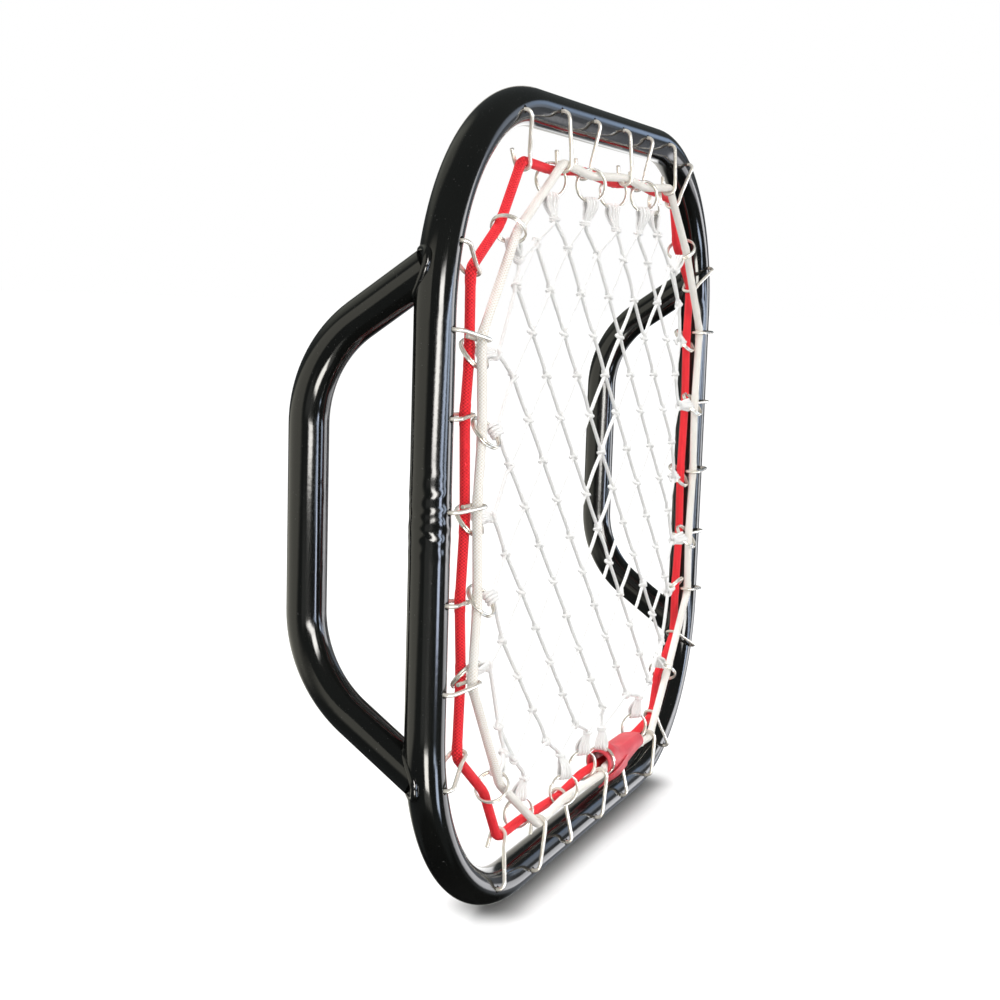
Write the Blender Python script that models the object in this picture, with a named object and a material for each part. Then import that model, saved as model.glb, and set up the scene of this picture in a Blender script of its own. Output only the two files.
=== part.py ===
"""Handheld rebounder net: a square tube loop with two handles and a net hung on hooks and elastic cords."""
import math

import bmesh
import bpy
from mathutils import Vector

# Lengths are in metres. X runs along the net's width, -Y is the playing face, Z is up.
MM = 0.001

# Steel loop and handles
TUBE_FLAT = 25.0 * MM
TUBE_WALL = 1.5 * MM
TUBE_SIDES = 12
LOOP_HALF = 259.0 * MM
# Places on the loop are given as on the measured one, and spread with its size
SPREAD = LOOP_HALF / 259.0
LOOP_CORNER = 133.5 * SPREAD
LOOP_CORNER_STEPS = 10
LOOP_Z = LOOP_HALF + TUBE_FLAT / 2
HANDLE_X = LOOP_HALF - 1.5 * MM
HANDLE_ROOT_Z = 156.0 * SPREAD
HANDLE_GRIP_Z = 98.5 * SPREAD
HANDLE_DEPTH = 84.2 * MM
HANDLE_BEND = 78.0 * MM
HANDLE_BEND_STEPS = 6
HANDLE_START = 2.5 * MM
JOINT_GAP = 0.3 * MM

# Hook holes, measured along the tube from the middle of each side
HOOK_PLACES = {
    "top": (-165, -102, -41, 19, 74, 127, 180),
    "right": (166, 110, 49, -10, -66, -118, -171),
    "bottom": (-171, -109, -45, 17, 77, 136, 186),
    "left": (170, 118, 66, 11, -45, -99, -160),
}
# How far each hook leans along the tube by the time it reaches its cord, in mm
HOOK_LEANS = {
    "top": (6, 0, 0, 0, 0, -4, 0),
    "right": (-8, 0, 0, 0, 0, 4, 5),
    "bottom": (4, 2, 0, 0, 0, 0, -2),
    "left": (-6, -6, 0, 0, -4, 0, 4),
}
HOLE_DIAMETER = 5.0 * MM
HOLE_SIDES = 10
PIVOT_Y = -(TUBE_FLAT - TUBE_WALL) / 2

# Split rings beside the second to the sixth hook of each side: place, lean in degrees, cords held
RING_PLACES = {
    "top": ((-100, 50, "red"), (-50, 50, "white"), (21.5, 50, "red"), (64, 50, "white"), (118, -50, "red")),
    "right": ((103, -50, "red"), (49, -50, "white"), (-13, -50, "red"), (-66, -50, "white"),
              (-111.5, 50, "red")),
    "bottom": ((-121, 55, "red"), (-60, 50, "white"), (2, 50, "red"), (30, 0, "both"), (122, 50, "red")),
    "left": ((102, -50, "red"), (55, -50, "white"), (0, -50, "red"), (-49, -50, "white"), (-96.5, 50, "red")),
}
RING_WIRE = 1.5 * MM
RING_RADIUS = 11.25 * MM
RING_STEPS = 14

# Elastic cords: the red one lies behind the white one
RED_Y = -5.0 * MM
WHITE_Y = -14.9 * MM
RED_RADIUS = 3.25 * MM
WHITE_RADIUS = 3.0 * MM
CORD_SIDES = 6
CORD_AT_HOOK = 34.0 * MM
CORD_AT_RING = CORD_AT_HOOK + 3.8 * MM
RED_CORNER = 182.0 * SPREAD
WHITE_CORNER = RED_CORNER - 5.0 * MM
CORNER_RING = RED_CORNER - 3.1 * MM
RING_FROM_RED = 6.4 * MM
RING_FROM_WHITE = 6.5 * MM
RING_FROM_BOTH = 3.1 * MM

# Hook wire
WIRE_RADIUS = 1.4 * MM
WIRE_SIDES = 6
RED_BIGHT = 5.3 * MM
WHITE_BIGHT = 5.05 * MM
HOOK_TAIL = 9.0 * MM

# Net
HALF_PITCH = 28.5 * SPREAD
NET_STEPS = 6
NET_Y = -9.95 * MM
TWINE = 2.4 * MM
KNOT = 4.6 * MM
SHIFT_TOP = 8.0 * MM
SHIFT_BOTTOM = 0.0 * MM
SHIFT_LEFT = 2.0 * MM
SHIFT_RIGHT = -9.0 * MM
TIP_Y = {"red": -5.4 * MM, "white": -14.4 * MM, "both": -9.95 * MM}

# Tape sleeve round both cords on the bottom side
SLEEVE_X = (34.0 * SPREAD, 52.0 * SPREAD, 88.0 * SPREAD, 107.0 * SPREAD)
SLEEVE_TAPE = 0.9 * MM


def start_scene():
    """Empty the file and make the two collections."""
    for item in list(bpy.data.objects):
        bpy.data.objects.remove(item, do_unlink=True)
    main = bpy.data.collections.new("rebounder_net")
    cutters = bpy.data.collections.new("cutters")
    bpy.context.scene.collection.children.link(main)
    bpy.context.scene.collection.children.link(cutters)
    return main, cutters


def make_material(name, color, metallic, roughness):
    material = bpy.data.materials.new(name)
    material.use_nodes = True
    shader = material.node_tree.nodes["Principled BSDF"]
    shader.inputs["Base Color"].default_value = (*color, 1.0)
    shader.inputs["Metallic"].default_value = metallic
    shader.inputs["Roughness"].default_value = roughness
    material.diffuse_color = (*color, 1.0)
    return material


def add_object(name, verts, faces, collection, material=None, origin=(0, 0, 0), sharp=40.0, hollow=False):
    """A mesh object whose vertices are given in world metres."""
    mesh = bpy.data.meshes.new(name)
    shift = Vector(origin)
    mesh.from_pydata([Vector(v) - shift for v in verts], [], faces)
    work = bmesh.new()
    work.from_mesh(mesh)
    if hollow and work.calc_volume(signed=True) < 0:
        bmesh.ops.reverse_faces(work, faces=work.faces)
    if not hollow:
        bmesh.ops.recalc_face_normals(work, faces=work.faces)
    work.to_mesh(mesh)
    work.free()
    mesh.shade_smooth()
    mesh.set_sharp_from_angle(angle=math.radians(sharp))
    item = bpy.data.objects.new(name, mesh)
    item.location = shift
    collection.objects.link(item)
    if material:
        mesh.materials.append(material)
    return item


def rings_of_path(path, normal, across, along, sides, closed, turn=0.0):
    """Sections of a planar path: across lies in the path's plane, along is its normal."""
    normal = Vector(normal).normalized()
    path = [Vector(p) for p in path]
    count = len(path)
    sections = []
    for k, point in enumerate(path):
        back = path[k - 1] if closed or k > 0 else None
        ahead = path[(k + 1) % count] if closed or k < count - 1 else None
        coming = (point - back).normalized() if back is not None else None
        going = (ahead - point).normalized() if ahead is not None else None
        if coming is None:
            tangent, stretch = going, 1.0
        elif going is None:
            tangent, stretch = coming, 1.0
        else:
            tangent = (coming + going).normalized()
            stretch = 1.0 / max(tangent.dot(coming), 0.5)
        side = normal.cross(tangent).normalized()
        section = []
        for n in range(sides):
            angle = turn + 2 * math.pi * n / sides
            section.append(point + side * (across * stretch * math.cos(angle))
                           + normal * (along * math.sin(angle)))
        sections.append(section)
    return sections


def skin(sections, closed, first=0):
    """Side faces of a row of sections."""
    sides = len(sections[0])
    count = len(sections)
    faces = []
    for k in range(count if closed else count - 1):
        a = first + k * sides
        b = first + ((k + 1) % count) * sides
        for n in range(sides):
            m = (n + 1) % sides
            faces.append((a + n, a + m, b + m, b + n))
    return faces


def solid_sweep(path, normal, across, along, sides, closed, turn=0.0):
    sections = rings_of_path(path, normal, across, along, sides, closed, turn)
    verts = [v for section in sections for v in section]
    faces = skin(sections, closed)
    if not closed:
        last = (len(sections) - 1) * sides
        faces.append(tuple(reversed(range(sides))))
        faces.append(tuple(range(last, last + sides)))
    return verts, faces


def hollow_sweep(path, normal, outer, inner, sides, closed, turn):
    """A tube with its bore; an open path gets ring-shaped ends."""
    outside = rings_of_path(path, normal, outer, outer, sides, closed, turn)
    inside = rings_of_path(path, normal, inner, inner, sides, closed, turn)
    verts = [v for section in outside for v in section]
    offset = len(verts)
    verts += [v for section in inside for v in section]
    faces = skin(outside, closed)
    faces += [tuple(reversed(f)) for f in skin(inside, closed, offset)]
    if not closed:
        last = (len(outside) - 1) * sides
        for n in range(sides):
            m = (n + 1) % sides
            faces.append((m, n, offset + n, offset + m))
            faces.append((last + n, last + m, offset + last + m, offset + last + n))
    return verts, faces


def on_side(side, a, b):
    """Turn side coordinates, a along the side and b out from the middle, into x and z."""
    if side == "top":
        return a, LOOP_Z + b
    if side == "bottom":
        return a, LOOP_Z - b
    if side == "right":
        return b, LOOP_Z + a
    return -b, LOOP_Z + a


def loop_place(side, s, u):
    """The x and z of a point at length s along a side and depth u inside the tube's middle."""
    straight = LOOP_HALF - LOOP_CORNER
    if abs(s) <= straight:
        return on_side(side, s, LOOP_HALF - u)
    turn = (abs(s) - straight) / LOOP_CORNER
    a = straight + (LOOP_CORNER - u) * math.sin(turn)
    b = straight + (LOOP_CORNER - u) * math.cos(turn)
    return on_side(side, math.copysign(a, s), b)


def side_axes(side, s):
    """Unit vectors along the tube and inwards at a place on the loop."""
    x0, z0 = loop_place(side, s, 0.0)
    x1, z1 = loop_place(side, s, 0.01)
    inwards = Vector((x1 - x0, 0, z1 - z0)).normalized()
    along = Vector((-inwards.z, 0, inwards.x))
    x2, z2 = loop_place(side, s + 0.001, 0.0)
    if along.dot(Vector((x2 - x0, 0, z2 - z0))) < 0:
        along = -along
    return along, inwards


def loop_path():
    """Middle line of the loop, corners in even steps."""
    straight = LOOP_HALF - LOOP_CORNER
    points = []
    for centre_x, centre_z, first in ((1, 1, 0), (-1, 1, 90), (-1, -1, 180), (1, -1, 270)):
        for k in range(LOOP_CORNER_STEPS + 1):
            angle = math.radians(first + 90 * k / LOOP_CORNER_STEPS)
            x = centre_x * straight + LOOP_CORNER * math.cos(angle)
            z = centre_z * straight + LOOP_CORNER * math.sin(angle)
            points.append((x, 0.0, LOOP_Z + z))
    return points


def cut(item, cutter):
    change = item.modifiers.new("cut_" + cutter.name, "BOOLEAN")
    change.operation = "DIFFERENCE"
    change.solver = "EXACT"
    change.object = cutter


def as_cutter(item):
    item.hide_render = True
    item.display_type = "WIRE"


def build_frame(main, cutters, coat):
    """The closed loop of tube with a hook hole through its front wall at every hook."""
    half_facet = math.pi / TUBE_SIDES
    outer = TUBE_FLAT / 2 / math.cos(half_facet)
    inner = (TUBE_FLAT / 2 - TUBE_WALL) / math.cos(half_facet)
    verts, faces = hollow_sweep(loop_path(), (0, 1, 0), outer, inner, TUBE_SIDES, True, half_facet)
    frame = add_object("frame_tube", verts, faces, main, coat, hollow=True)
    holes, hole_faces = [], []
    for side, places in HOOK_PLACES.items():
        for place in places:
            x, z = loop_place(side, place * SPREAD, 0.0)
            along, inwards = side_axes(side, place * SPREAD)
            first = len(holes)
            for y in (-TUBE_FLAT / 2 - 2.5 * MM, -TUBE_FLAT / 2 + 4.5 * MM):
                for n in range(HOLE_SIDES):
                    angle = 2 * math.pi * n / HOLE_SIDES
                    spot = (along * math.cos(angle) + inwards * math.sin(angle)) * (HOLE_DIAMETER / 2)
                    holes.append((x + spot.x, y, z + spot.z))
            ring = list(range(first, first + HOLE_SIDES))
            far = [k + HOLE_SIDES for k in ring]
            hole_faces.append(tuple(ring))
            hole_faces.append(tuple(reversed(far)))
            for n in range(HOLE_SIDES):
                m = (n + 1) % HOLE_SIDES
                hole_faces.append((ring[m], ring[n], far[n], far[m]))
    drill = add_object("hook_hole_drill", holes, hole_faces, cutters)
    as_cutter(drill)
    cut(frame, drill)
    return frame


def handle_path(x):
    """One handle's middle line, from the upper root round the grip to the lower root."""
    corners = [(0.0, HANDLE_ROOT_Z), (HANDLE_DEPTH, HANDLE_GRIP_Z)]
    leg = Vector((corners[1][0] - corners[0][0], corners[1][1] - corners[0][1]))
    leg_way = leg.normalized()
    turn = math.acos(leg_way.dot(Vector((0, -1))))
    tangent = HANDLE_BEND * math.tan(turn / 2)
    start = Vector(corners[0]) + leg_way * HANDLE_START
    bend_start = Vector(corners[1]) - leg_way * tangent
    centre = Vector((HANDLE_DEPTH - HANDLE_BEND, HANDLE_GRIP_Z - tangent))
    top = [start, bend_start]
    for k in range(1, HANDLE_BEND_STEPS + 1):
        angle = turn * (1 - k / HANDLE_BEND_STEPS)
        top.append(centre + Vector((math.cos(angle), math.sin(angle))) * HANDLE_BEND)
    bottom = [Vector((p.x, -p.y)) for p in reversed(top)]
    return [(x, p.x, LOOP_Z + p.y) for p in top + bottom]


def build_handles(main, cutters, coat):
    half_facet = math.pi / TUBE_SIDES
    outer = TUBE_FLAT / 2 / math.cos(half_facet)
    inner = (TUBE_FLAT / 2 - TUBE_WALL) / math.cos(half_facet)
    reach = (TUBE_FLAT / 2 + JOINT_GAP) / math.cos(half_facet)
    verts, faces = solid_sweep(loop_path(), (0, 1, 0), reach, reach, TUBE_SIDES, True, half_facet)
    cope = add_object("handle_cope", verts, faces, cutters)
    as_cutter(cope)
    for name, x in (("left_handle", -HANDLE_X), ("right_handle", HANDLE_X)):
        verts, faces = hollow_sweep(handle_path(x), (1, 0, 0), outer, inner, TUBE_SIDES, False, half_facet)
        handle = add_object(name, verts, faces, main, coat, hollow=True)
        cut(handle, cope)


def hook_outline(cord, reach):
    """Hook wire in depth u and y, in millimetres, from its end in the tube to its free tip."""
    face = -TUBE_FLAT / 2 / MM
    if cord == "red":
        middle, bight = RED_Y / MM, RED_BIGHT / MM
        points = [(-4.0, face + 6.9), (-1.7, face + 6.8), (0.0, face + 4.8), (0.0, face - 1.2),
                  (1.5, face - 3.4), (4.3, face - 3.9), (reach - 7.5, middle - bight - 0.9)]
    else:
        middle, bight = WHITE_Y / MM, WHITE_BIGHT / MM
        points = [(-4.0, face + 6.9), (-1.7, face + 6.8), (0.0, face + 4.8), (0.0, face - 1.7),
                  (1.6, face - 4.3), (4.5, face - 5.2), (reach - 7.5, middle - bight + 0.25)]
    for angle in (0, 45, 90, 135, 180):
        turn = math.radians(angle)
        points.append((reach + bight * math.sin(turn), middle - bight * math.cos(turn)))
    points.append((reach - HOOK_TAIL / MM, middle + bight + 0.7))
    return points


def build_hooks(main, steel):
    for side, places in HOOK_PLACES.items():
        for k, place in enumerate(places):
            s = place * SPREAD
            along, inwards = side_axes(side, s)
            x, z = loop_place(side, s, 0.0)
            base = Vector((x, 0, z))
            reach = math.hypot(CORD_AT_HOOK, HOOK_LEANS[side][k] * MM)
            way = (inwards * CORD_AT_HOOK + along * (HOOK_LEANS[side][k] * MM)) / reach
            outline = hook_outline("red" if k % 2 == 0 else "white", reach / MM)
            path = [base + way * (u * MM) + Vector((0, y * MM, 0)) for u, y in outline]
            verts, faces = solid_sweep(path, way.cross(Vector((0, 1, 0))), WIRE_RADIUS, WIRE_RADIUS,
                                       WIRE_SIDES, False)
            name = "hook_{}_{}".format(side, k + 1)
            add_object(name, verts, faces, main, steel, origin=(x, PIVOT_Y, z))


def ring_centre(side, k):
    """Centre, axes and cord of one ring of a side; rings at even hooks hang on the red cord."""
    place, lean_degrees, cord = RING_PLACES[side][k]
    s = place * SPREAD
    depth = CORD_AT_RING + {"red": RING_FROM_RED, "white": RING_FROM_WHITE, "both": RING_FROM_BOTH}[cord]
    y = {"red": RED_Y - 0.2 * MM, "white": WHITE_Y + 0.2 * MM, "both": NET_Y}[cord]
    x, z = on_side(side, s, LOOP_HALF - depth)
    along, inwards = side_axes(side, s)
    lean = math.radians(lean_degrees)
    across = Vector((0, -math.cos(lean), 0)) + along * math.sin(lean)
    return Vector((x, y, z)), inwards, across, cord


def corner_ring(sign_x, sign_z):
    centre = Vector((sign_x * CORNER_RING, NET_Y, LOOP_Z + sign_z * CORNER_RING))
    inwards = Vector((-sign_x, 0, -sign_z)).normalized()
    return centre, inwards, Vector((0, -1, 0))


def ring_mesh(centre, inwards, across):
    """A ring of two turns of wire, as one closed body in the plane of the two directions."""
    normal = inwards.cross(across).normalized()
    path = []
    for k in range(RING_STEPS):
        angle = 2 * math.pi * k / RING_STEPS
        path.append(centre + (inwards * math.cos(angle) + across * math.sin(angle)) * RING_RADIUS)
    half = RING_WIRE / 2
    profile = ((half, half), (0.55 * half, 2 * half), (-0.55 * half, 2 * half), (-half, half),
               (-half, -half), (-0.55 * half, -2 * half), (0.55 * half, -2 * half), (half, -half))
    verts = []
    for point in path:
        out = (point - centre).normalized()
        verts += [point + out * a + normal * b for a, b in profile]
    sections = [profile] * RING_STEPS
    return verts, skin(sections, True)


def build_rings(main, steel):
    for side in RING_PLACES:
        for k in range(5):
            centre, inwards, across, cord = ring_centre(side, k)
            verts, faces = ring_mesh(centre, inwards, across)
            add_object("ring_{}_{}".format(side, k + 2), verts, faces, main, steel, origin=centre)
    for name, sx, sz in (("top_left", -1, 1), ("top_right", 1, 1), ("bottom_right", 1, -1),
                         ("bottom_left", -1, -1)):
        centre, inwards, across = corner_ring(sx, sz)
        verts, faces = ring_mesh(centre, inwards, across)
        add_object("ring_" + name, verts, faces, main, steel, origin=centre)


def cord_side(side, cord, forwards):
    """Way points of one cord along one side, in the order of travel."""
    stops = []
    for k, place in enumerate(HOOK_PLACES[side]):
        held = (k % 2 == 0) == (cord == "red")
        if held:
            half = 2.4 * MM if 1 <= k <= 5 else 2.8 * MM
            stops.append((place, HOOK_LEANS[side][k] * MM, CORD_AT_HOOK, half))
        elif 1 <= k <= 5:
            stops.append((RING_PLACES[side][k - 1][0], 0.0, CORD_AT_RING, 3.2 * MM))
    points = []
    for place, lean, depth, half in stops:
        x, z = loop_place(side, place * SPREAD, depth)
        along, inwards = side_axes(side, place * SPREAD)
        for step in (lean - half, lean + half):
            points.append((place + step / MM, x + along.x * step, z + along.z * step))
    points.sort(key=lambda p: p[0], reverse=not forwards)
    return [(x, z) for s, x, z in points]


def cord_route(cord):
    """The whole closed route of a cord, clockwise as seen from the front."""
    reach = RED_CORNER if cord == "red" else WHITE_CORNER
    route = []
    plan = (("top", True, 1, 1), ("right", False, 1, -1), ("bottom", False, -1, -1), ("left", True, -1, 1))
    for side, forwards, sx, sz in plan:
        route += cord_side(side, cord, forwards)
        step = 2.2 * MM
        turn_x, turn_z = sz, -sx
        for way in (-1, 1):
            x = sx * reach + way * step * turn_x
            z = LOOP_Z + sz * reach + way * step * turn_z
            route.append((x, z))
    return route


def build_cords(main, red, white):
    for name, cord, y, radius, material in (("red_cord", "red", RED_Y, RED_RADIUS, red),
                                            ("white_cord", "white", WHITE_Y, WHITE_RADIUS, white)):
        path = [(p.x, y, p.y) for p in (Vector(q) for q in cord_route(cord))]
        verts, faces = solid_sweep(path, (0, 1, 0), radius, radius, CORD_SIDES, True, math.pi / 6)
        add_object(name, verts, faces, main, material, origin=(0, y, LOOP_Z), sharp=65.0)


def net_point(i, j):
    """A knot of the net; the rows drift a little, as they do on the object."""
    x = i * HALF_PITCH
    z = j * HALF_PITCH
    span = NET_STEPS * HALF_PITCH
    up = 0.5 + 0.5 * z / span
    right = 0.5 + 0.5 * x / span
    x += SHIFT_BOTTOM + (SHIFT_TOP - SHIFT_BOTTOM) * up
    z += SHIFT_LEFT + (SHIFT_RIGHT - SHIFT_LEFT) * right
    return Vector((x, NET_Y, LOOP_Z + z))


def net_graph():
    """Knots, loop points and the strands between them."""
    points, edges, index = [], [], {}
    for i in range(-NET_STEPS, NET_STEPS + 1):
        for j in range(-NET_STEPS, NET_STEPS + 1):
            if (i + j) % 2:
                index[(i, j)] = len(points)
                points.append(net_point(i, j))
    knots = len(points)
    for (i, j), a in index.items():
        for step in (1, -1):
            b = index.get((i + 1, j + step))
            if b is not None:
                edges.append((a, b))
    tips = []
    for side in RING_PLACES:
        for k in range(5):
            centre, inwards, across, cord = ring_centre(side, k)
            along, same = side_axes(side, 0.0)
            spot = k * 2 - 4
            if side in ("left", "right"):
                spot = -spot
            if side == "top":
                ends = ((spot - 1, NET_STEPS), (spot + 1, NET_STEPS))
            elif side == "bottom":
                ends = ((spot - 1, -NET_STEPS), (spot + 1, -NET_STEPS))
            elif side == "right":
                ends = ((NET_STEPS, spot - 1), (NET_STEPS, spot + 1))
            else:
                ends = ((-NET_STEPS, spot - 1), (-NET_STEPS, spot + 1))
            tips.append((centre, inwards, along, cord, ends, 1.0))
    for sx, sz in ((-1, 1), (1, 1), (1, -1), (-1, -1)):
        centre, inwards, across = corner_ring(sx, sz)
        along = Vector((sz, 0, -sx)).normalized()
        ends = ((sx * 5, sz * NET_STEPS), (sx * NET_STEPS, sz * 5))
        low, high = index[ends[0]], index[ends[1]]
        if (points[low] - points[high]).dot(along) > 0:
            ends = (ends[1], ends[0])
        tips.append((centre, inwards, along, "both", ends, 0.75))
    for centre, inwards, along, cord, ends, width in tips:
        hold = centre + inwards * RING_RADIUS
        first = len(points)
        for s, u in ((-6.8, 1.6), (-5.8, -3.0), (0.0, -3.9), (5.8, -3.0), (6.8, 1.6)):
            spot = hold + along * (s * width * MM) + inwards * (u * MM)
            spot.y = TIP_Y[cord]
            points.append(spot)
        edges.append((index[ends[0]], first))
        edges += [(first + k, first + k + 1) for k in range(4)]
        edges.append((first + 4, index[ends[1]]))
    return points, edges, knots


def build_net(main, twine):
    """Flat strands of even width with a small raised knot at every crossing."""
    points, edges, knots = net_graph()
    near = [[] for p in points]
    for a, b in edges:
        near[a].append(b)
        near[b].append(a)
    half = TWINE / 2
    verts, faces, corner = [], [], {}
    for a, point in enumerate(points):
        ways = sorted(near[a], key=lambda b: math.atan2(points[b].z - point.z, points[b].x - point.x))
        count = len(ways)
        ring = []
        for k, b in enumerate(ways):
            c = ways[(k + 1) % count]
            one = math.atan2(points[b].z - point.z, points[b].x - point.x)
            two = math.atan2(points[c].z - point.z, points[c].x - point.x)
            gap = (two - one) % (2 * math.pi)
            middle = one + gap / 2
            reach = half / math.sin(gap / 2)
            x = point.x + reach * math.cos(middle)
            z = point.z + reach * math.sin(middle)
            corner[(a, b, "left")] = len(verts)
            corner[(a, c, "right")] = len(verts)
            ring.append(len(verts))
            verts.append((x, point.y - half, z))
            verts.append((x, point.y + half, z))
        if count > 2:
            top = len(verts)
            verts.append((point.x, point.y - KNOT / 2, point.z))
            verts.append((point.x, point.y + KNOT / 2, point.z))
            for k in range(count):
                p, q = ring[k], ring[(k + 1) % count]
                faces.append((p, q, top))
                faces.append((q + 1, p + 1, top + 1))
    for a, b in edges:
        al, ar = corner[(a, b, "left")], corner[(a, b, "right")]
        bl, br = corner[(b, a, "right")], corner[(b, a, "left")]
        faces.append((ar, al, bl, br))
        faces.append((al + 1, ar + 1, br + 1, bl + 1))
        faces.append((al, al + 1, bl + 1, bl))
        faces.append((ar + 1, ar, br, br + 1))
    add_object("net", verts, faces, main, twine, origin=(0, NET_Y, LOOP_Z), sharp=80.0)


def build_sleeve(main, tape):
    """A C of tape round both cords, open towards the tube."""
    unit = (RED_RADIUS + WHITE_RADIUS) / 6.25
    depth = LOOP_Z - LOOP_HALF + CORD_AT_HOOK
    middle = (RED_Y + WHITE_Y) / 2
    outer = [Vector((u, y)) * unit for u, y in (
        (-3.2, -7.25), (-3.8, -8.75), (-2.0, -9.65), (2.0, -10.05), (6.0, -9.25), (8.4, -6.65), (9.0, -2.05),
        (9.0, 5.95), (8.5, 10.35), (6.3, 13.15), (2.0, 14.15), (-1.6, 13.85), (-3.2, 12.85))]
    inner = []
    for k, point in enumerate(outer):
        way = (outer[min(k + 1, len(outer) - 1)] - outer[max(k - 1, 0)]).normalized()
        inner.append(point + Vector((-way.y, way.x)) * SLEEVE_TAPE)
    outline = outer + inner[::-1]
    verts, sections = [], []
    for k, x in enumerate(SLEEVE_X):
        swell = 0.0 if k in (0, 3) else 0.5 * unit
        section = [(x, middle + p.y, depth + p.x + (swell if p.x > 0 else 0.0)) for p in outline]
        sections.append(section)
        verts += section
    faces = skin(sections, False)
    count = len(outline)
    last = (len(sections) - 1) * count
    for n in range(len(outer) - 1):
        m = count - 1 - n
        faces.append((n, n + 1, m - 1, m))
        faces.append((last + m, last + m - 1, last + n + 1, last + n))
    origin = (sum(SLEEVE_X) / 4, middle, depth)
    add_object("cord_sleeve", verts, faces, main, tape, origin=origin, sharp=60.0)


def build():
    main, cutters = start_scene()
    coat = make_material("black_powder_coat", (0.012, 0.012, 0.014), 0.0, 0.22)
    hook_steel = make_material("hook_wire_plated", (0.72, 0.70, 0.66), 1.0, 0.28)
    ring_steel = make_material("split_ring_plated", (0.66, 0.65, 0.62), 1.0, 0.22)
    red = make_material("red_elastic_braid", (0.62, 0.015, 0.03), 0.0, 0.75)
    white = make_material("white_elastic_braid", (0.80, 0.77, 0.70), 0.0, 0.75)
    twine = make_material("white_net_twine", (0.82, 0.82, 0.81), 0.0, 0.8)
    tape = make_material("red_sleeve_tape", (0.75, 0.05, 0.06), 0.0, 0.5)
    build_frame(main, cutters, coat)
    build_handles(main, cutters, coat)
    build_hooks(main, hook_steel)
    build_rings(main, ring_steel)
    build_cords(main, red, white)
    build_net(main, twine)
    build_sleeve(main, tape)


build()
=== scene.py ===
"""Looks of the handheld rebounder net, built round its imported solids."""
import math

import bpy
import numpy as np
from mathutils import Matrix, Vector
from mathutils.bvhtree import BVHTree
from mathutils.interpolate import poly_3d_calc


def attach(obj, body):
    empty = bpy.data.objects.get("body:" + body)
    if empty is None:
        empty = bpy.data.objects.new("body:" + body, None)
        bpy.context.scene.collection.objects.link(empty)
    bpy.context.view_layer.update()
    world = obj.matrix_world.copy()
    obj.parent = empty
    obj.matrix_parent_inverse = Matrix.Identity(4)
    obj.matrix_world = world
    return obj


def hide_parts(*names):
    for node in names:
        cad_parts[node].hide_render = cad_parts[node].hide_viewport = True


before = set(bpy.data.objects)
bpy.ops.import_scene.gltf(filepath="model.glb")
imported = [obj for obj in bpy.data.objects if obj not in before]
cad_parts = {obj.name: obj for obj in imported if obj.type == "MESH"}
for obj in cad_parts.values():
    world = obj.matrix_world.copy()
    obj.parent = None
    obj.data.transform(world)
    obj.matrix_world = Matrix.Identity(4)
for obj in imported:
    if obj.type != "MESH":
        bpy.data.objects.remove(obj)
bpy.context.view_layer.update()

# Values of the solids, as in their source. Lengths are in metres, unless a comment says millimetres
MM = 0.001
TUBE_RADIUS = 12.5 * MM
TUBE_WALL = 1.5 * MM
LOOP_HALF = 259.0 * MM
LOOP_CORNER = 133.5 * MM
LOOP_Z = 271.5 * MM
HANDLE_X = 257.5 * MM
HANDLE_ROOT_Z = 156.0 * MM
HANDLE_GRIP_Z = 98.5 * MM
HANDLE_DEPTH = 84.2 * MM
HANDLE_BEND = 78.0 * MM
# Places of the hooks along each side from its middle, and how far each leans sideways, in millimetres
HOOK_PLACES = {
    "top": (-165, -102, -41, 19, 74, 127, 180),
    "right": (166, 110, 49, -10, -66, -118, -171),
    "bottom": (-171, -109, -45, 17, 77, 136, 186),
    "left": (170, 118, 66, 11, -45, -99, -160),
}
HOOK_LEANS = {
    "top": (6, 0, 0, 0, 0, -4, 0),
    "right": (-8, 0, 0, 0, 0, 4, 5),
    "bottom": (4, 2, 0, 0, 0, 0, -2),
    "left": (-6, -6, 0, 0, -4, 0, 4),
}
HOLE_RADIUS = 2.5 * MM
# Rings beside the second to the sixth hook: place in millimetres, lean in degrees, and the cord held
RING_PLACES = {
    "top": ((-100, 50, "red"), (-50, 50, "white"), (21.5, 50, "red"), (64, 50, "white"), (118, -50, "red")),
    "right": ((103, -50, "red"), (49, -50, "white"), (-13, -50, "red"), (-66, -50, "white"),
              (-111.5, 50, "red")),
    "bottom": ((-121, 55, "red"), (-60, 50, "white"), (2, 50, "red"), (30, 0, "both"), (122, 50, "red")),
    "left": ((102, -50, "red"), (55, -50, "white"), (0, -50, "red"), (-49, -50, "white"), (-96.5, 50, "red")),
}
RING_WIRE = 0.78 * MM
RING_RADIUS = 11.25 * MM
CORNER_RING = 178.9 * MM
RING_DEPTH = {"red": 6.4 * MM, "white": 6.5 * MM, "both": 3.1 * MM}
CORD_Y = {"red": -5.0 * MM, "white": -14.9 * MM}
CORD_RADIUS = {"red": 3.25 * MM, "white": 3.0 * MM}
CORD_AT_HOOK = 34.0 * MM
CORD_AT_RING = 37.8 * MM
CORD_CORNER = {"red": 182.0 * MM, "white": 177.0 * MM}
WIRE_RADIUS = 1.35 * MM
HALF_PITCH = 28.5 * MM
NET_STEPS = 6
NET_Y = -9.95 * MM
TWINE_RADIUS = 1.35 * MM
# Rings hang a little off the middle of their cord
RING_Y = {"red": CORD_Y["red"] - 0.2 * MM, "white": CORD_Y["white"] + 0.2 * MM, "both": NET_Y}
# How far each edge of the net is drawn sideways: right or up
NET_SHIFT = {"top": 8.0 * MM, "bottom": 0.0, "left": 2.0 * MM, "right": -9.0 * MM}

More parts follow.
